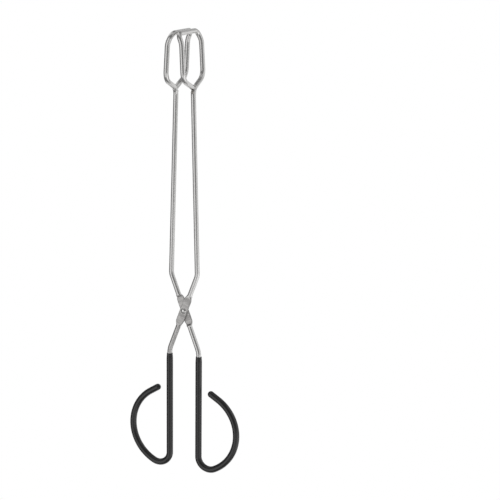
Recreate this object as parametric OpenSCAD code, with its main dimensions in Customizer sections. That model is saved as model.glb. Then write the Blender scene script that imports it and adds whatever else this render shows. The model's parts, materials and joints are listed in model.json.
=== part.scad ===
// Scissor-type wire tongs. Two identical bent wires cross on one rivet. Each wire is a coated
// handle with an open finger loop, a flattened crossing, a long arm and a closed jaw loop.
// X runs across the handles, Y along the rivet (the front arm lies towards -Y), Z up to the jaws.

/* [Wire] */
// Diameter of the stainless wire
wire_d = 4.2; // [4:0.1:4.4]

/* [Crossing] */
// Lean of each wire from upright where the two cross
lean = 21; // [17:0.5:23]
// Width of the flattened plate at the rivet
plate_w = 6.8; // [6.4:0.1:8]
// Thickness of the flattened plate
plate_t = 1.9; // [1.6:0.1:1.9]
// Length of each plate, tip of one shoulder to tip of the other
plate_len = 30; // [28:1:32]
// Length over which each plate narrows to the wire at a shoulder
shoulder_len = 5.5; // [4.5:0.5:6]
// Length of the steep step from each mating face up to the round wire
step_len = 1.5; // [1:0.1:2.5]
// Free play between the two plates
plate_gap = 0.1; // [0.05:0.05:0.3]

/* [Rivet] */
// Diameter of the rivet's shank
rivet_d = 3; // [2.5:0.1:3.2]
// Diameter of the rivet's heads
rivet_head_d = 5; // [4.5:0.1:6]
// Height of the domed front head
rivet_head_h = 1.2; // [0.8:0.1:1.6]
// Height of the peened rear head
rivet_tail_h = 0.8; // [0.6:0.1:1]
// Radial clearance of the shank in the rear plate
rivet_play = 0.05; // [0.03:0.01:0.08]

/* [Upper arms] */
// Half width across the elbows above the crossing
elbow_x = 12; // [11:0.1:13]
// Bend radius of the elbows
elbow_r = 12; // [9:1:16]
// Half width across the arms where the jaw loops begin
fork_x = 7.8; // [7:0.1:9]
// Height of the forks above the rivet
fork_z = 188; // [170:0.2:200]
// Bend radius of the arm into the jaw loop
fork_r = 8; // [5:0.5:9]

/* [Jaw loops] */
// Width of a jaw loop between the wire centres, at its lower bends
jaw_w = 39.2; // [34:0.2:44]
// Rise of a jaw loop from the fork to its lower bends
jaw_rise = 9.2; // [8:0.2:12]
// Height of the straight sides, from the lower bends to the inward curl
jaw_side_h = 29.2; // [24:0.2:36]
// Height of the curled part, up to the top bar
curl_h = 8.2; // [7.8:0.2:12]
// Half distance between the two jaw loops where they start to curl inwards
curl_x = 6.3; // [5.6:0.1:7]
// Half distance between the two top bars, wire centre to wire centre
jaw_top_x = 2.6; // [2.6:0.1:3]
// Width of a jaw loop at its top bar
jaw_top_w = 36.4; // [34:0.2:40]
// Bend radius of the lower bends
jaw_low_r = 10; // [6:0.5:11]
// Bend radius of the inward curl
curl_r = 14; // [10:1:16]
// Bend radius of the top corners
jaw_top_r = 5.5; // [4.5:0.1:5.5]

/* [Handles] */
// Half width across the straight handles
handle_x = 13.6; // [12:0.1:15]
// Bend radius where a handle starts
handle_r = 20; // [18:1:28]
// Depth of the finger loops' lowest point below the rivet, to the wire centre
loop_bottom_z = 139; // [132:0.5:146]
// Small bend radius at the bottom of a finger loop
loop_low_r = 10.4; // [9:0.2:12]
// Large bend radius of a finger loop's flank
loop_r = 35.8; // [33:0.5:38]
// Straight length between a finger loop's two bends
loop_flat = 0.3; // [0.3:0.1:3]
// Slope of the finger loop between its two bends, from level
loop_slope = 26.5; // [24:0.5:32]
// Slope of the finger loop's open end, from level
tail_slope = 32; // [28:1:38]
// Straight length at the finger loop's open end
tail_len = 8; // [6:0.5:12]

/* [Grip sleeves] */
// Outside diameter of the coated sleeve
sleeve_d = 5.6; // [5.2:0.1:6]
// Outside diameter of the sleeve's thin top end
sleeve_top_d = 5.1; // [4.8:0.1:5.2]
// Length of the thinning top end
sleeve_taper = 5; // [3:0.5:8]
// Distance of the sleeve's top end below the bend where the handle starts
sleeve_drop = 0.1; // [0.1:0.1:6]

/* [Hidden] */
$fn = 96;

wire_r = wire_d / 2;
rivet_r = rivet_d / 2;
sleeve_r = sleeve_d / 2;
sleeve_top_r = sleeve_top_d / 2;
// Overlap of a straight length with a bend, and how much thinner the straight length is
seam_lap = 0.2;
seam_step = 0.01;
// Heights of the bends that end the crossing's straight run, from the rivet
elbow_z = elbow_x / tan(lean);
handle_z = -handle_x / tan(lean);
sleeve_top_z = handle_z - handle_r * tan(lean / 2) - sleeve_drop;
// Height of the rivet's centre above the lowest point of the sleeves
pivot_z = loop_bottom_z + sleeve_r;
// Inner and outer face of the front plate
plate_in_y = -plate_gap / 2;
plate_out_y = plate_in_y - plate_t;

function unit(v) = v / norm(v);
// Direction in the handle plane, at an angle from level
function heading(angle) = [cos(angle), 0, sin(angle)];
// Angle by which a path turns at b
function turn(a, b, c) = acos(unit(b - a) * unit(c - b));
// Length of each leg that a bend at point i takes up
function bend_leg(path, i) =
    i == 0 || i == len(path) - 1 ? 0
    : path[i][1] * tan(turn(path[i - 1][0], path[i][0], path[i + 1][0]) / 2);

// Finger loop in its own plane: two bends and a straight end. It turns from straight down.
low_leg = loop_low_r * tan((90 + loop_slope) / 2);
flank_leg = loop_r * tan((180 - tail_slope - loop_slope) / 2);
loop_centre_z = -loop_bottom_z + loop_low_r;
loop_corner = [handle_x, 0, loop_centre_z - low_leg];
flank_corner = loop_corner + (low_leg + loop_flat + flank_leg) * heading(loop_slope);
tail_run = flank_leg + tail_len;
tail_end = flank_corner + tail_run * heading(180 - tail_slope);

// Each path is a list of [corner, bend radius]. The legs between bends are straight.
handle_bends = [[loop_corner, loop_low_r], [flank_corner, loop_r], [tail_end, 0]];
// The wire's round length starts where the plate begins to narrow
round_from = plate_len / 2 - shoulder_len;
// The steep step stands in the middle of the shoulder
step_from = plate_len / 2 - shoulder_len / 2;
crossing = [sin(lean), 0, cos(lean)];
lower_path = concat([[[-crossing.x, 0, crossing.z] * -round_from, 0], [[handle_x, 0, handle_z], handle_r]],
                    handle_bends);
sleeve_path = concat([[[handle_x, 0, sleeve_top_z - sleeve_taper], 0]], handle_bends);

// Jaw loop corners. The sides lean in a little, and the curled part more.
jaw_low_z = fork_z + jaw_rise;
curl_z = jaw_low_z + jaw_side_h;
curl_w = jaw_w - 0.6;
jaw_top_z = curl_z + curl_h;
// Place of the cut end, laid on the outside of the fork's bend
lap_end = [fork_x, 0.8, fork_z + 0.6];

weld_r = 1.5;
weld_beads = [lap_end + [0, 1, 1], lap_end - [0, 2.2, 3]];

function jaw_side(s) = [
    [[fork_x, s * jaw_w / 2, jaw_low_z], jaw_low_r],
    [[curl_x, s * curl_w / 2, curl_z], curl_r],
    [[jaw_top_x, s * jaw_top_w / 2, jaw_top_z], jaw_top_r]
];
function reversed(list) = [for (i = [len(list) - 1 : -1 : 0]) list[i]];
upper_path = concat(
    [[crossing * round_from, 0], [[elbow_x, 0, elbow_z], elbow_r], [[fork_x, 0, fork_z], fork_r]],
    jaw_side(1), reversed(jaw_side(-1)), [[lap_end, 0]]
);

// Puts a child's X, Y and Z axes along x, y and z, and its origin at o
module place(o, x, y, z) {
    multmatrix([[x.x, y.x, z.x, o.x], [x.y, y.y, z.y, o.y], [x.z, y.z, z.z, o.z], [0, 0, 0, 1]])
        children();
}

// Straight round bar from a to b
module bar(a, b, r) {
    z = unit(b - a);
    x = unit(cross(abs(z.y) < 0.9 ? [0, 1, 0] : [1, 0, 0], z));
    place(a, x, cross(z, x), z) cylinder(h = norm(b - a), r = r);
}

// Bend of a round bar at corner b, on its way from a to c
module bend(a, b, c, bend_r, r) {
    back = unit(a - b);
    angle = turn(a, b, c);
    inward = unit(unit(c - b) - (unit(c - b) * back) * back);
    start = b + bend_r * tan(angle / 2) * back;
    place(start + bend_r * inward, -inward, -back, cross(-inward, -back))
        rotate_extrude(angle = angle) translate([bend_r, 0]) circle(r = r);
}

// Round bar along a path. Each straight length is a hair thinner and runs a little way into the bends.
module bent_bar(path, r) {
    last = len(path) - 1;
    for (i = [0 : last - 1]) {
        a = path[i][0];
        b = path[i + 1][0];
        from = i == 0 ? 0 : bend_leg(path, i) - seam_lap;
        to = i == last - 1 ? 0 : bend_leg(path, i + 1) - seam_lap;
        bar(a + from * unit(b - a), b - to * unit(b - a), r - seam_step);
        if (i > 0) bend(path[i - 1][0], a, b, path[i][1], r);
    }
}

// Turns a shape's +Z onto the front arm's crossing, which leans towards +X
module along_crossing() {
    rotate([0, lean, 0]) children();
}

// Outline of the plate: parallel sides that sweep in to the wire at both shoulders
steps = 12;
function plate_half_width(t) = wire_r + (plate_w / 2 - wire_r) * (1 + cos(180 * t)) / 2;
shoulder = [for (i = [0 : steps]) [plate_half_width(i / steps), round_from + shoulder_len * i / steps]];
plate_side = concat([for (p = reversed(shoulder)) [p.x, -p.y]], shoulder);
plate_outline = concat(plate_side, [for (p = reversed(plate_side)) [-p.x, p.y]]);

// What the press takes off the round wire at one shoulder: a steep ramp down to the mating face,
// and a shallow one down to the outer face
module shoulder_cut() {
    over = 1;
    for (face = [[1, plate_in_y, wire_r, step_from, step_len], [-1, plate_out_y, -wire_r, round_from, shoulder_len]]) {
        side = face[0];
        from = face[3];
        ramp = face[4] * (1 + over / abs(face[2] - face[1]));
        rotate([90, 0, 90]) translate([0, 0, -wire_d]) linear_extrude(2 * wire_d)
            polygon([[face[1], round_from - over], [face[2] + side * over, round_from - over],
                     [face[2] + side * over, from + ramp], [face[1], from]]);
    }
}

// The bent and flattened wire of the front arm, with a bore for the rivet
module wire_form(bore_r) {
    difference() {
        union() {
            along_crossing() rotate([90, 0, 0]) translate([0, 0, -plate_in_y])
                linear_extrude(plate_t) polygon(plate_outline);
            difference() {
                bent_bar(upper_path, wire_r);
                along_crossing() shoulder_cut();
            }
            difference() {
                mirror([1, 0, 0]) bent_bar(lower_path, wire_r);
                along_crossing() mirror([0, 0, 1]) shoulder_cut();
            }
        }
        rotate([90, 0, 0]) cylinder(h = 2 * wire_d, r = bore_r, center = true);
    }
}

// Weld beads in the creases above and below the cut end of the jaw loop
module jaw_weld() {
    difference() {
        for (bead = weld_beads) translate(bead) sphere(r = weld_r);
        bent_bar(upper_path, wire_r);
    }
}

// Coated sleeve: a tube on the wire with a thinning top and a closed round end
module sleeve() {
    difference() {
        union() {
            translate([handle_x, 0, sleeve_top_z - sleeve_taper])
                cylinder(h = sleeve_taper, r1 = sleeve_r, r2 = sleeve_top_r);
            bent_bar(sleeve_path, sleeve_r);
            translate(tail_end) sphere(r = sleeve_r);
        }
        bent_bar(lower_path, wire_r);
    }
}

module front_half() {
    translate([0, 0, pivot_z]) children();
}
module rear_half() {
    translate([0, 0, pivot_z]) rotate([0, 0, 180]) children();
}

module front_arm() {
    color("silver") front_half() wire_form(rivet_r);
}
module rear_arm() {
    color("silver") rear_half() wire_form(rivet_r + rivet_play);
}
module front_jaw_weld() {
    color("gray") front_half() jaw_weld();
}
module rear_jaw_weld() {
    color("gray") rear_half() jaw_weld();
}
module front_grip_sleeve() {
    color([0.08, 0.08, 0.085]) front_half() mirror([1, 0, 0]) sleeve();
}
module rear_grip_sleeve() {
    color([0.08, 0.08, 0.085]) rear_half() mirror([1, 0, 0]) sleeve();
}

// Rivet along Y: domed head in front, shank through both plates, peened tail behind
module pivot_rivet() {
    head_r = rivet_head_d / 2;
    dome_r = (head_r * head_r + rivet_head_h * rivet_head_h) / (2 * rivet_head_h);
    tail_y = -plate_out_y + rivet_play;
    color("gainsboro") translate([0, 0, pivot_z]) rotate([90, 0, 0]) {
        translate([0, 0, -tail_y]) cylinder(h = tail_y - plate_out_y, r = rivet_r);
        translate([0, 0, -plate_out_y]) intersection() {
            translate([0, 0, rivet_head_h - dome_r]) sphere(r = dome_r);
            cylinder(h = 2 * rivet_head_h, r = rivet_head_d);
        }
        translate([0, 0, -tail_y - rivet_tail_h]) {
            translate([0, 0, rivet_tail_h / 2]) cylinder(h = rivet_tail_h / 2, r = head_r);
            cylinder(h = rivet_tail_h / 2, r1 = head_r - rivet_tail_h / 2, r2 = head_r);
        }
    }
}

front_arm();
rear_arm();
front_jaw_weld();
rear_jaw_weld();
pivot_rivet();
front_grip_sleeve();
rear_grip_sleeve();
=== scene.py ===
import json
import math

import bmesh
import bpy
from mathutils import Matrix, Vector


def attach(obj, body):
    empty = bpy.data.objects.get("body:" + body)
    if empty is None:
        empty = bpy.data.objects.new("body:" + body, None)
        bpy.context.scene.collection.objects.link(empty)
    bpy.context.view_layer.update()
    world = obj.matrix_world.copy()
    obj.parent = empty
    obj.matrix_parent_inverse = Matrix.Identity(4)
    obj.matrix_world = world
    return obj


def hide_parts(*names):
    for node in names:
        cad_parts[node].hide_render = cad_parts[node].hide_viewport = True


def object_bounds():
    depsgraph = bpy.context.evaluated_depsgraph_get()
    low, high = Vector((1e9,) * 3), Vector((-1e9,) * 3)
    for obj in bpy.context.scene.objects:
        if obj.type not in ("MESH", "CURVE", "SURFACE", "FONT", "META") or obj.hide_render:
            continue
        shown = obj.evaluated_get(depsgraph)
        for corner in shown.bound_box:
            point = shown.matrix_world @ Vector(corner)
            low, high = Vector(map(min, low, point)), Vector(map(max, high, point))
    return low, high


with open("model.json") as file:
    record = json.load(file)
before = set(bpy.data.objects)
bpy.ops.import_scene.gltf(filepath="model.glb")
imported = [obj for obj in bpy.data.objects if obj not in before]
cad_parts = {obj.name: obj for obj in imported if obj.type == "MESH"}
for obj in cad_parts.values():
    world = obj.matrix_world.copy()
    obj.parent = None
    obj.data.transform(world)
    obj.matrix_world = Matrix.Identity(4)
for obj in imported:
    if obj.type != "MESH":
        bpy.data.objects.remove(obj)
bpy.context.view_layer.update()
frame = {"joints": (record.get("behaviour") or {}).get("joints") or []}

MM = 0.001
UP = Vector((0, 0, 1))
THROUGH = Vector((0, 1, 0))
PIVOT = Vector(frame["joints"][0]["pos_m"])

# Drawing of one bent wire, in metres from the rivet's centre. Jaws up, handle down.
WIRE_R = 2.1 * MM
LEAN = math.radians(21)
PLATE_W = 6.8 * MM
PLATE_T = 1.9 * MM
PLATE_LEN = 30 * MM
SHOULDER = 5.5 * MM
STEP_FROM, STEP_LEN = 12.25 * MM, 1.5 * MM
PLATE_GAP = 0.1 * MM
ELBOW_X, ELBOW_R = 12 * MM, 12 * MM
FORK_X, FORK_Z, FORK_R = 7.8 * MM, 188 * MM, 8 * MM
JAW_W, JAW_RISE, JAW_LOW_R = 39.2 * MM, 9.2 * MM, 10 * MM
JAW_SIDE_H, CURL_X, CURL_R, CURL_H = 29.2 * MM, 6.3 * MM, 14 * MM, 8.2 * MM
JAW_TOP_X, JAW_TOP_W, JAW_TOP_R = 2.6 * MM, 36.4 * MM, 5.5 * MM
HANDLE_X, HANDLE_R = 13.6 * MM, 20 * MM
LOOP_BOTTOM, LOOP_LOW_R, LOOP_R = 139 * MM, 10.4 * MM, 35.8 * MM
LOOP_SLOPE, LOOP_FLAT = math.radians(26.5), 0.3 * MM
TAIL_SLOPE, TAIL_LEN = math.radians(32), 8 * MM
# How much narrower a jaw loop is on each side where its sides end
SIDE_DRAFT = 0.3 * MM
# Where the wire's cut end lies, on the outside of the fork
CUT_END = Vector((FORK_X, 0.8 * MM, FORK_Z + 0.6 * MM))
# A cut end's cone: its length, and its end's share of the wire's diameter
CUT_LEN, CUT_SHARE = 0.12 * MM, 0.92

# Grip sleeve, rivet and weld
SLEEVE_R, SLEEVE_TOP_R = 2.8 * MM, 2.55 * MM
SLEEVE_DROP, SLEEVE_TAPER = 0.1 * MM, 5 * MM
SLEEVE_BORE_R = WIRE_R + 0.02 * MM
SLEEVE_LIP = 0.15 * MM
RIVET_R, RIVET_HEAD_R, RIVET_HEAD_H, RIVET_TAIL_H = 1.5 * MM, 2.5 * MM, 1.2 * MM, 0.8 * MM
RIVET_PLAY = 0.05 * MM
WELD_R = 1.5 * MM
WELD_OFFSETS = [Vector((0, 1, 1)) * MM, Vector((0, -2.2, -3)) * MM]


def across(x, y, z):
    """A point of the front wire from its drawing: its handle lies at -X and its jaw at +X."""
    return PIVOT + Vector((x, y, z))


def heading(angle):
    return Vector((math.cos(angle), 0, math.sin(angle)))


def handle_route():
    """Corners and bend radii of the front wire, from the open end of its finger loop to the crossing."""
    low_leg = LOOP_LOW_R * math.tan((math.pi / 2 + LOOP_SLOPE) / 2)
    flank_leg = LOOP_R * math.tan((math.pi - TAIL_SLOPE - LOOP_SLOPE) / 2)
    loop = Vector((HANDLE_X, 0, LOOP_LOW_R - LOOP_BOTTOM - low_leg))
    flank = loop + (low_leg + LOOP_FLAT + flank_leg) * heading(LOOP_SLOPE)
    tail = flank + (flank_leg + TAIL_LEN) * heading(math.pi - TAIL_SLOPE)
    bend = Vector((HANDLE_X, 0, -HANDLE_X / math.tan(LEAN)))
    corners = [(tail, 0), (flank, LOOP_R), (loop, LOOP_LOW_R), (bend, HANDLE_R)]
    return [(across(-p.x, p.y, p.z), r) for p, r in corners]


def jaw_side(side):
    low_z = FORK_Z + JAW_RISE
    curl_z = low_z + JAW_SIDE_H
    return [
        (across(FORK_X, side * JAW_W / 2, low_z), JAW_LOW_R),
        (across(CURL_X, side * (JAW_W / 2 - SIDE_DRAFT), curl_z), CURL_R),
        (across(JAW_TOP_X, side * JAW_TOP_W / 2, curl_z + CURL_H), JAW_TOP_R),
    ]


def jaw_route():
    """Corners and bend radii from the crossing round the jaw loop to the cut end on the fork."""
    elbow = (across(ELBOW_X, 0, ELBOW_X / math.tan(LEAN)), ELBOW_R)
    fork = (across(FORK_X, 0, FORK_Z), FORK_R)
    return [elbow, fork, *jaw_side(1), *reversed(jaw_side(-1)), (across(*CUT_END), 0)]


def mix(a, b, t):
    return a + (b - a) * t


def smooth(t):
    t = min(max(t, 0), 1)
    return t * t * (3 - 2 * t)


class Bender:
    """A wire bender. It draws a ring of edges along straights and bends.

    The attribute "blank" keeps each point's place on the straight wire, so that patterns follow
    the wire. "pressed" is 1 where the wire is flattened, and less where it is only made darker and
    rougher."""

    def __init__(self, start, towards, radius, sides=40):
        self.bm = bmesh.new()
        self.blank = self.bm.verts.layers.float_vector.new("blank")
        self.pressed = self.bm.verts.layers.float.new("pressed")
        self.darkened = 0.0
        self.at = start.copy()
        self.heading = (towards - start).normalized()
        verts = bmesh.ops.create_circle(self.bm, cap_ends=True, segments=sides, radius=radius)["verts"]
        for v in verts:
            v[self.blank] = v.co
        side = THROUGH.cross(self.heading).normalized()
        stand = Matrix((side, self.heading.cross(side), self.heading)).transposed().to_4x4()
        bmesh.ops.transform(self.bm, matrix=Matrix.Translation(start) @ stand, verts=verts)
        self.verts = verts
        self.ring = self.bm.edges[:]

    def _take(self, made, length):
        """Carries on from the ring that an operator has drawn, which lies length further along."""
        self.verts = [g for g in made if isinstance(g, bmesh.types.BMVert)]
        new = set(self.verts)
        self.ring = [g for g in made if isinstance(g, bmesh.types.BMEdge) and new.issuperset(g.verts)]
        for v in self.verts:
            place = v[self.blank]
            v[self.blank] = (place[0], place[1], place[2] + length)
            v[self.pressed] = self.darkened

    def straight(self, length, steps=1):
        for _ in range(steps):
            made = bmesh.ops.extrude_edge_only(self.bm, edges=self.ring)["geom"]
            self._take(made, length / steps)
            self.at += self.heading * length / steps
            bmesh.ops.translate(self.bm, verts=self.verts, vec=self.heading * length / steps)

    def bend(self, onward, radius, step=math.radians(5)):
        angle = self.heading.angle(onward)
        axis = self.heading.cross(onward).normalized()
        centre = self.at + axis.cross(self.heading) * radius
        steps = max(2, math.ceil(angle / step))
        turn = Matrix.Rotation(angle / steps, 3, axis)
        for _ in range(steps):
            made = bmesh.ops.spin(
                self.bm, geom=self.ring, cent=centre, axis=axis, angle=angle / steps, steps=1
            )["geom_last"]
            self._take(made, radius * angle / steps)
            self.at = centre + turn @ (self.at - centre)
        self.heading = onward.copy()

    def follow(self, route, step=math.radians(5)):
        """Runs along a route of corners, bending at each but the last, where it ends."""
        for (corner, radius), (after, _) in zip(route, route[1:]):
            onward = (after - corner).normalized()
            leg = radius * math.tan(self.heading.angle(onward) / 2)
            self.straight((corner - self.at).length - leg, steps=4)
            self.bend(onward, radius, step)
        self.straight((route[-1][0] - self.at).length, steps=2)

    def scale(self, factor):
        about = Matrix.Translation(-self.at)
        bmesh.ops.scale(self.bm, vec=(factor, factor, factor), space=about, verts=self.verts)

    def press(self, section):
        """Moulds the ring to section(cosine, sine), which gives its place aside and through."""
        side = THROUGH.cross(self.heading).normalized()
        for v in self.verts:
            round_place = Vector(v[self.blank][:2]).normalized()
            aside, through, flattened = section(*round_place)
            v.co = self.at + side * aside + THROUGH * through
            v[self.pressed] = max(self.darkened, flattened)

    def close(self):
        bmesh.ops.edgeloop_fill(self.bm, edges=self.ring)


def squared(value, squareness):
    return math.copysign(abs(value) ** (2 / squareness), value)


def plate_section(place):
    """Cross-section of the front wire at a place along its crossing, counted from the rivet.

    The press leaves a steep step up from the mating face, and a long slow one in front."""
    from_end = PLATE_LEN / 2 - abs(place)
    depth = min(max(from_end / SHOULDER, 0), 1)
    step = smooth((STEP_FROM + STEP_LEN - abs(place)) / STEP_LEN)
    half_w = mix(WIRE_R, PLATE_W / 2, smooth(depth))
    inner = mix(WIRE_R, -PLATE_GAP / 2, step)
    outer = mix(-WIRE_R, -PLATE_GAP / 2 - PLATE_T, smooth(depth))
    middle, half_t = (inner + outer) / 2, (inner - outer) / 2
    squareness = mix(2, 7, smooth(depth * 1.3))

    def section(cosine, sine):
        return half_w * squared(cosine, squareness), middle + half_t * squared(sine, squareness), depth

    return section


def bent_wire(darkened=0.0):
    """The whole front wire: handle core, pressed crossing, arm and jaw loop, with both ends cut.

    It may be made darker and rougher on the handle's side of the crossing."""
    handle, jaw = handle_route(), jaw_route()
    crossing = Vector((math.sin(LEAN), 0, math.cos(LEAN)))
    bender = Bender(handle[0][0], handle[1][0], WIRE_R * CUT_SHARE)
    chamfer(bender, 1 / CUT_SHARE)
    bender.darkened = darkened
    bender.follow([*handle[1:], (PIVOT - crossing * PLATE_LEN / 2, 0)])
    stations = 72
    for i in range(1, stations + 1):
        bender.straight(PLATE_LEN / stations)
        bender.press(plate_section(PLATE_LEN * (i / stations - 0.5)))
        bender.darkened = darkened * smooth(1 - 2 * i / stations)
    bender.follow(jaw)
    chamfer(bender, CUT_SHARE)
    bender.close()
    return bender.bm


def chamfer(bender, factor):
    """A short cone at a cut end, where the burr has been taken off."""
    bender.straight(CUT_LEN)
    bender.scale(factor)


def grip_sleeve():
    """The front sleeve: a round closed tip, a long skin, a thin top lip, and the bore back down."""
    route = handle_route()
    tip, rings = route[0][0], 10
    inward = (route[1][0] - tip).normalized()
    polar = [math.pi / 2 * i / rings for i in range(1, rings + 1)]
    start = tip - inward * SLEEVE_R * math.cos(polar[0])
    bender = Bender(start, route[1][0], SLEEVE_R * math.sin(polar[0]), sides=48)
    for low, high in zip(polar, polar[1:]):
        bender.straight(SLEEVE_R * (math.cos(low) - math.cos(high)))
        bender.scale(math.sin(high) / math.sin(low))
    bend_end = HANDLE_X / math.tan(LEAN) + HANDLE_R * math.tan(LEAN / 2)
    top = across(-HANDLE_X, 0, -bend_end - SLEEVE_DROP)
    bender.follow([*route[1:3], (top - UP * SLEEVE_TAPER, 0)], step=math.radians(3))
    radius = SLEEVE_R
    for i in range(1, 9):
        onward = mix(SLEEVE_R, SLEEVE_TOP_R, smooth(i / 8))
        bender.straight((SLEEVE_TAPER - SLEEVE_LIP) / 8)
        bender.scale(onward / radius)
        radius = onward
    lip = [(2 / 3, radius - SLEEVE_LIP / 3), (1 / 3, radius - SLEEVE_LIP), (0, SLEEVE_BORE_R)]
    for share, onward in lip:
        bender.straight(share * SLEEVE_LIP)
        bender.scale(onward / radius)
        radius = onward
    bender.heading = -UP
    bender.follow([*reversed(route[1:3]), (tip, 0)], step=math.radians(6))
    bender.close()
    return bender.bm


def rivet():
    """Turned profile spun about the rivet's axis: domed head in front, peened tail behind."""
    bm = bmesh.new()
    plate_out = PLATE_GAP / 2 + PLATE_T
    head = plate_out + RIVET_HEAD_H
    dome_r = (RIVET_HEAD_R ** 2 + RIVET_HEAD_H ** 2) / (2 * RIVET_HEAD_H)
    dome = [math.asin(RIVET_HEAD_R / dome_r) * i / 10 for i in range(11)]
    profile = [(dome_r * math.sin(a), -(head - dome_r + dome_r * math.cos(a))) for a in dome]
    tail = plate_out + RIVET_PLAY
    profile += [
        (RIVET_HEAD_R - 0.1 * MM, -plate_out),
        (RIVET_R, -plate_out),
        (RIVET_R, tail),
        (RIVET_HEAD_R - 0.1 * MM, tail),
        (RIVET_HEAD_R, tail + 0.15 * MM),
        (RIVET_HEAD_R - 0.1 * MM, tail + 0.45 * MM),
        (RIVET_HEAD_R - 0.45 * MM, tail + 0.7 * MM),
        (RIVET_HEAD_R - 1.1 * MM, tail + RIVET_TAIL_H),
        (0, tail + RIVET_TAIL_H - 0.05 * MM),
    ]
    verts = [bm.verts.new(PIVOT + Vector((r, y, 0))) for r, y in profile]
    edges = [bm.edges.new(pair) for pair in zip(verts, verts[1:])]
    bmesh.ops.spin(
        bm, geom=verts + edges, cent=PIVOT, axis=THROUGH, angle=2 * math.pi, steps=64, use_merge=True
    )
    bmesh.ops.remove_doubles(bm, verts=bm.verts, dist=0.001 * MM)
    return bm


def weld_bead():
    """The two small fused beads in the creases above and below the cut end."""
    bm = bmesh.new()
    for offset in WELD_OFFSETS:
        made = bmesh.ops.create_icosphere(bm, subdivisions=4, radius=WELD_R)["verts"]
        bmesh.ops.translate(bm, verts=made, vec=across(*CUT_END) + offset)
    return bm


def half_turn(bm):
    """Turns a front piece into its rear twin, half a turn about the tool's long axis."""
    bmesh.ops.rotate(bm, verts=bm.verts, cent=PIVOT, matrix=Matrix.Rotation(math.pi, 3, UP))
    return bm


def piece(name, bm, body, finish, node):
    bmesh.ops.recalc_face_normals(bm, faces=bm.faces)
    for face in bm.faces:
        face.smooth = len(face.verts) <= 4
    mesh = bpy.data.meshes.new(name)
    bm.to_mesh(mesh)
    bm.free()
    mesh.materials.append(finish)
    made = bpy.data.objects.new(name, mesh)
    bpy.context.scene.collection.objects.link(made)
    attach(made, body)
    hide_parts(node)


class Value:
    """A value in a material: a socket or a number. Sums on it add Math nodes."""

    def __init__(self, finish, socket):
        self.finish = finish
        self.socket = socket

    def _sum(self, operation, *others):
        return self.finish.math(operation, self, *others)

    def __add__(self, other):
        return self._sum("ADD", other)

    def __sub__(self, other):
        return self._sum("SUBTRACT", other)

    def __mul__(self, other):
        return self._sum("MULTIPLY", other)

    def __pow__(self, other):
        return self._sum("POWER", other)

    def __rsub__(self, other):
        return self.finish.math("SUBTRACT", other, self)

    __radd__ = __add__
    __rmul__ = __mul__


class Finish:
    """A node material. Its shader's constants are set at once, and what varies is linked."""

    def __init__(self, name, **constants):
        self.material = bpy.data.materials.new(name)
        self.material.use_nodes = True
        self.tree = self.material.node_tree
        self.tree.nodes.clear()
        self.shader = self.node("ShaderNodeBsdfPrincipled", **constants)
        self.node("ShaderNodeOutputMaterial", Surface=self.shader.outputs["BSDF"])

    def node(self, kind, settings=None, **sockets):
        made = self.tree.nodes.new(kind)
        for key, value in (settings or {}).items():
            setattr(made, key, value)
        for key, value in sockets.items():
            self.feed(made.inputs[key.replace("_", " ")], value)
        return made

    def feed(self, socket, value):
        value = value.socket if isinstance(value, Value) else value
        if isinstance(value, bpy.types.NodeSocket):
            self.tree.links.new(value, socket)
        else:
            socket.default_value = value

    def math(self, operation, *values):
        made = self.node("ShaderNodeMath", {"operation": operation})
        for socket, value in zip(made.inputs, values):
            self.feed(socket, value)
        return Value(self, made.outputs["Value"])

    def attribute(self, name, output):
        made = self.node("ShaderNodeAttribute", {"attribute_name": name})
        return made.outputs[output]

    def stretched(self, vector, x, y, z):
        """A place in metres as a pattern place: so many repeats to the millimetre each way."""
        scale = tuple(n / MM for n in (x, y, z))
        return self.node("ShaderNodeMapping", Vector=vector, Scale=scale).outputs["Vector"]

    def noise(self, vector, detail, roughness=0.5):
        made = self.node(
            "ShaderNodeTexNoise", Vector=vector, Scale=1.0, Detail=detail, Roughness=roughness
        )
        return Value(self, made.outputs["Fac"])

    def step(self, value, low, high):
        """A smooth change from 0 to 1 as the value goes from low to high."""
        made = self.node(
            "ShaderNodeMapRange",
            {"interpolation_type": "SMOOTHSTEP"},
            Value=value,
            From_Min=low,
            From_Max=high,
        )
        return Value(self, made.outputs["Result"])

    def blend(self, factor, first, second):
        """A colour between two."""
        made = self.node("ShaderNodeMix", {"data_type": "RGBA"})
        colours = [s for s in made.inputs if s.type == "RGBA"]
        self.feed(made.inputs["Factor"], factor)
        for socket, colour in zip(colours, (first, second)):
            self.feed(socket, (*colour, 1) if isinstance(colour, tuple) else colour)
        return next(s for s in made.outputs if s.type == "RGBA")

    def bump(self, height, distance, under=None):
        sockets = {"Height": height, "Distance": distance}
        if under is not None:
            sockets["Normal"] = under
        return self.node("ShaderNodeBump", **sockets).outputs["Normal"]

    def set(self, **sockets):
        for key, value in sockets.items():
            self.feed(self.shader.inputs[key.replace("_", " ")], value)


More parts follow.
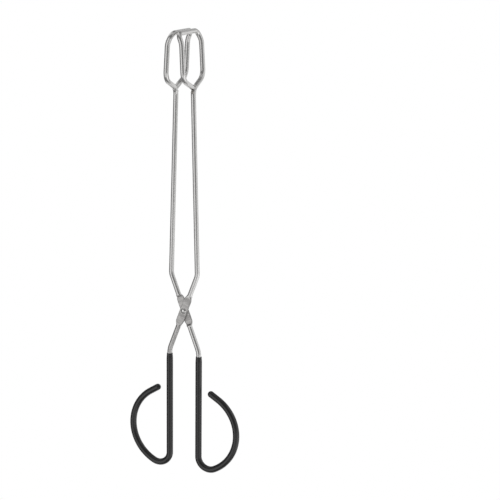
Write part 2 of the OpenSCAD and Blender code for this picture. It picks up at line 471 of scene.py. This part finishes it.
def drawn_stainless():
    """Polished stainless wire, with faint draw lines along it, dull and mottled where pressed, and darker
    and rougher on the front wire's handle side, where "pressed" is set part way.
    """
    steel = Finish("drawn_stainless", Metallic=1.0)
    blank = steel.attribute("blank", "Vector")
    pressed = Value(steel, steel.attribute("pressed", "Fac"))
    # plate is 1 on the pressed plates, and part way on the front wire's handle side, which is only made
    # darker and rougher
    plate = steel.step(pressed, 0.0, 0.7)
    lines = steel.noise(steel.stretched(blank, 3, 3, 0.03), detail=1.0)
    scuffs = steel.noise(steel.stretched(blank, 0.5, 0.5, 0.12), detail=4.0)
    grain = steel.noise(steel.stretched(blank, 2.2, 2.2, 2.2), detail=4.0, roughness=0.6)
    clouds = steel.noise(steel.stretched(blank, 0.3, 0.3, 0.3), detail=2.0)
    wire_rough = 0.17 + 0.08 * scuffs + 0.05 * lines
    plate_rough = 0.34 + 0.16 * clouds
    tone = steel.blend(scuffs, (0.6, 0.595, 0.59), (0.7, 0.695, 0.685))
    mottle = steel.step(clouds * 0.55 + grain * 0.45, 0.36, 0.64)
    dull = steel.blend(mottle, (0.31, 0.303, 0.298), (0.56, 0.55, 0.54))
    steel.set(
        Base_Color=steel.blend(plate, tone, dull),
        Roughness=wire_rough + (plate_rough - wire_rough) * plate,
        Normal=steel.bump(grain * plate, 0.03 * MM, steel.bump(lines, 0.002 * MM)),
    )
    return steel.material


def rivet_steel():
    """Bright cold-formed steel with faint rings from the heading tool."""
    steel = Finish("rivet_steel", Metallic=1.0)
    place = steel.node("ShaderNodeTexCoord").outputs["Object"]
    centred = steel.node("ShaderNodeVectorMath", {"operation": "SUBTRACT"})
    steel.feed(centred.inputs[0], place)
    steel.feed(centred.inputs[1], tuple(PIVOT))
    parts = steel.node("ShaderNodeSeparateXYZ", Vector=centred.outputs["Vector"])
    x, z = Value(steel, parts.outputs["X"]), Value(steel, parts.outputs["Z"])
    radius = (x * x + z * z) ** 0.5
    rings = steel.math("SINE", radius * (2 * math.pi / (0.28 * MM)))
    wear = steel.noise(steel.stretched(place, 1.2, 1.2, 1.2), detail=3.0)
    steel.set(
        Base_Color=steel.blend(wear, (0.62, 0.615, 0.605), (0.8, 0.795, 0.78)),
        Roughness=0.08 + 0.1 * wear,
        Normal=steel.bump(rings, 0.004 * MM, steel.bump(wear, 0.03 * MM)),
    )
    return steel.material


def weld_metal():
    """Fused steel, dull, darker than the wire, with a faint straw and grey tone in patches."""
    weld = Finish("weld_metal", Metallic=1.0)
    place = weld.node("ShaderNodeTexCoord").outputs["Object"]
    tint = weld.noise(weld.stretched(place, 0.7, 0.7, 0.7), detail=2.0)
    pits = weld.noise(weld.stretched(place, 3.5, 3.5, 3.5), detail=4.0)
    weld.set(
        Base_Color=weld.blend(tint, (0.36, 0.33, 0.29), (0.5, 0.49, 0.48)),
        Roughness=0.34 + 0.2 * pits,
        Normal=weld.bump(pits, 0.08 * MM),
    )
    return weld.material


def dipped_vinyl():
    """Black dip-coated vinyl: semi-gloss, with a faint orange peel and slow runs along the dip."""
    vinyl = Finish("dipped_vinyl", IOR=1.56)
    blank = vinyl.attribute("blank", "Vector")
    peel = vinyl.noise(vinyl.stretched(blank, 1.4, 1.4, 1.0), detail=2.0)
    runs = vinyl.noise(vinyl.stretched(blank, 0.3, 0.3, 0.06), detail=2.0)
    dust = vinyl.noise(vinyl.stretched(blank, 4, 4, 4), detail=3.0, roughness=0.7)
    rubbed = vinyl.step(vinyl.noise(vinyl.stretched(blank, 0.12, 0.12, 0.05), detail=3.0), 0.45, 0.75)
    vinyl.set(
        Base_Color=vinyl.blend(dust * 0.5 + rubbed * 0.5, (0.008, 0.008, 0.0085), (0.018, 0.018, 0.0185)),
        Roughness=0.2 + 0.06 * peel + 0.08 * rubbed,
        Normal=vinyl.bump(peel, 0.025 * MM, vinyl.bump(runs, 0.12 * MM)),
    )
    return vinyl.material


STEEL, RIVET, WELD, VINYL = drawn_stainless(), rivet_steel(), weld_metal(), dipped_vinyl()
piece("wire_front", bent_wire(darkened=0.45), "front_half", STEEL, "front_arm")
piece("wire_rear", half_turn(bent_wire()), "rear_half", STEEL, "rear_arm")
piece("sleeve_front", grip_sleeve(), "front_half", VINYL, "front_grip_sleeve")
piece("sleeve_rear", half_turn(grip_sleeve()), "rear_half", VINYL, "rear_grip_sleeve")
piece("rivet", rivet(), "front_half", RIVET, "pivot_rivet")
piece("weld_front", weld_bead(), "front_half", WELD, "front_jaw_weld")
piece("weld_rear", half_turn(weld_bead()), "rear_half", WELD, "rear_jaw_weld")


# Studio: a white sweep in a mid-grey room, with soft lights on all sides. Angles are in degrees.
CAMERA_AZIMUTH = 24.9
CAMERA_ELEVATION = 12.7
CAMERA_DISTANCE = 1.316
CAMERA_LENS = 112.7
CAMERA_ASIDE = math.radians(2.4)
CAMERA_ROLL = math.radians(0.09)
AIM_HEIGHT = PIVOT.z + 52.5 * MM
LIGHT_DISTANCE = 2.2
FLOOR_RADIUS = 12
ROOM_GREY, FLOOR_GREY = 0.23, 0.35


def bearing(azimuth, elevation):
    """Direction from the object in degrees: azimuth 0 is the front, and it grows towards +X."""
    azimuth, elevation = math.radians(azimuth), math.radians(elevation)
    level = math.cos(elevation)
    return Vector((math.sin(azimuth) * level, -math.cos(azimuth) * level, math.sin(elevation)))


def place(thing, azimuth, elevation, distance):
    """Puts a light or the camera at a bearing from the object, and aims it there."""
    bpy.context.scene.collection.objects.link(thing)
    offset = bearing(azimuth, elevation) * distance
    thing.location = Vector((0, 0, AIM_HEIGHT)) + offset
    thing.rotation_euler = (-offset).to_track_quat("-Z", "Y").to_euler()


def soft_light(name, azimuth, elevation, width, height, brightness):
    """A soft box that shows in the wire at the brightness given, as a share of white."""
    lamp = bpy.data.lights.new(name, "AREA")
    lamp.shape = "RECTANGLE"
    lamp.size = width
    lamp.size_y = height
    lamp.energy = math.pi * width * height * brightness
    holder = bpy.data.objects.new(name, lamp)
    holder.visible_camera = False
    place(holder, azimuth, elevation, LIGHT_DISTANCE)


def white_for_the_camera(tree, dark):
    """A colour that is white to the camera, and a grey to all that it lights."""
    nodes, links = tree.nodes, tree.links
    nodes.clear()
    path = nodes.new("ShaderNodeLightPath")
    shade = nodes.new("ShaderNodeMix")
    shade.data_type = "RGBA"
    colours = [s for s in shade.inputs if s.type == "RGBA"]
    colours[0].default_value = (dark, dark, dark, 1)
    colours[1].default_value = (1, 1, 1, 1)
    links.new(path.outputs["Is Camera Ray"], shade.inputs["Factor"])
    return next(s for s in shade.outputs if s.type == "RGBA")


def room():
    world = bpy.data.worlds.new("room")
    bpy.context.scene.world = world
    world.use_nodes = True
    tree = world.node_tree
    colour = white_for_the_camera(tree, ROOM_GREY)
    background = tree.nodes.new("ShaderNodeBackground")
    out = tree.nodes.new("ShaderNodeOutputWorld")
    tree.links.new(colour, background.inputs["Color"])
    tree.links.new(background.outputs["Background"], out.inputs["Surface"])


def sweep_floor():
    bm = bmesh.new()
    bmesh.ops.create_circle(bm, cap_ends=True, segments=96, radius=FLOOR_RADIUS)
    mesh = bpy.data.meshes.new("floor")
    bm.to_mesh(mesh)
    bm.free()
    floor = bpy.data.objects.new("floor", mesh)
    floor.location = (0, 0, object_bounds()[0].z)
    bpy.context.scene.collection.objects.link(floor)
    floor.visible_glossy = False
    floor.visible_shadow = False
    paper = bpy.data.materials.new("white_paper")
    paper.use_nodes = True
    tree = paper.node_tree
    colour = white_for_the_camera(tree, FLOOR_GREY)
    glow = tree.nodes.new("ShaderNodeEmission")
    out = tree.nodes.new("ShaderNodeOutputMaterial")
    tree.links.new(colour, glow.inputs["Color"])
    tree.links.new(glow.outputs["Emission"], out.inputs["Surface"])
    mesh.materials.append(paper)


def camera():
    lens = bpy.data.cameras.new("camera")
    lens.lens = CAMERA_LENS
    lens.sensor_width = 36
    viewer = bpy.data.objects.new("camera", lens)
    place(viewer, CAMERA_AZIMUTH, CAMERA_ELEVATION, CAMERA_DISTANCE)
    aside = Matrix.Rotation(-CAMERA_ASIDE, 3, "Y") @ Matrix.Rotation(CAMERA_ROLL, 3, "Z")
    viewer.rotation_euler = (viewer.rotation_euler.to_matrix() @ aside).to_euler()
    bpy.context.scene.camera = viewer


camera()
room()
sweep_floor()
soft_light("left", azimuth=-22, elevation=-8, width=2.1, height=2.9, brightness=0.82)
soft_light("right", azimuth=102, elevation=0, width=2.6, height=4.4, brightness=0.66)
soft_light("table", azimuth=60, elevation=-34, width=3.0, height=1.7, brightness=0.62)
soft_light("backdrop", azimuth=178, elevation=-16, width=3.4, height=2.65, brightness=0.7)
soft_light("wall", azimuth=178, elevation=33, width=3.4, height=1.5, brightness=0.3)
soft_light("top", azimuth=25, elevation=78, width=2.4, height=1.6, brightness=0.4)
soft_light("below", azimuth=200, elevation=-66, width=2.4, height=1.5, brightness=0.7)
soft_light("upper_left", azimuth=-100, elevation=48, width=1.5, height=1.5, brightness=0.8)
bpy.context.scene.view_settings.view_transform = "Standard"
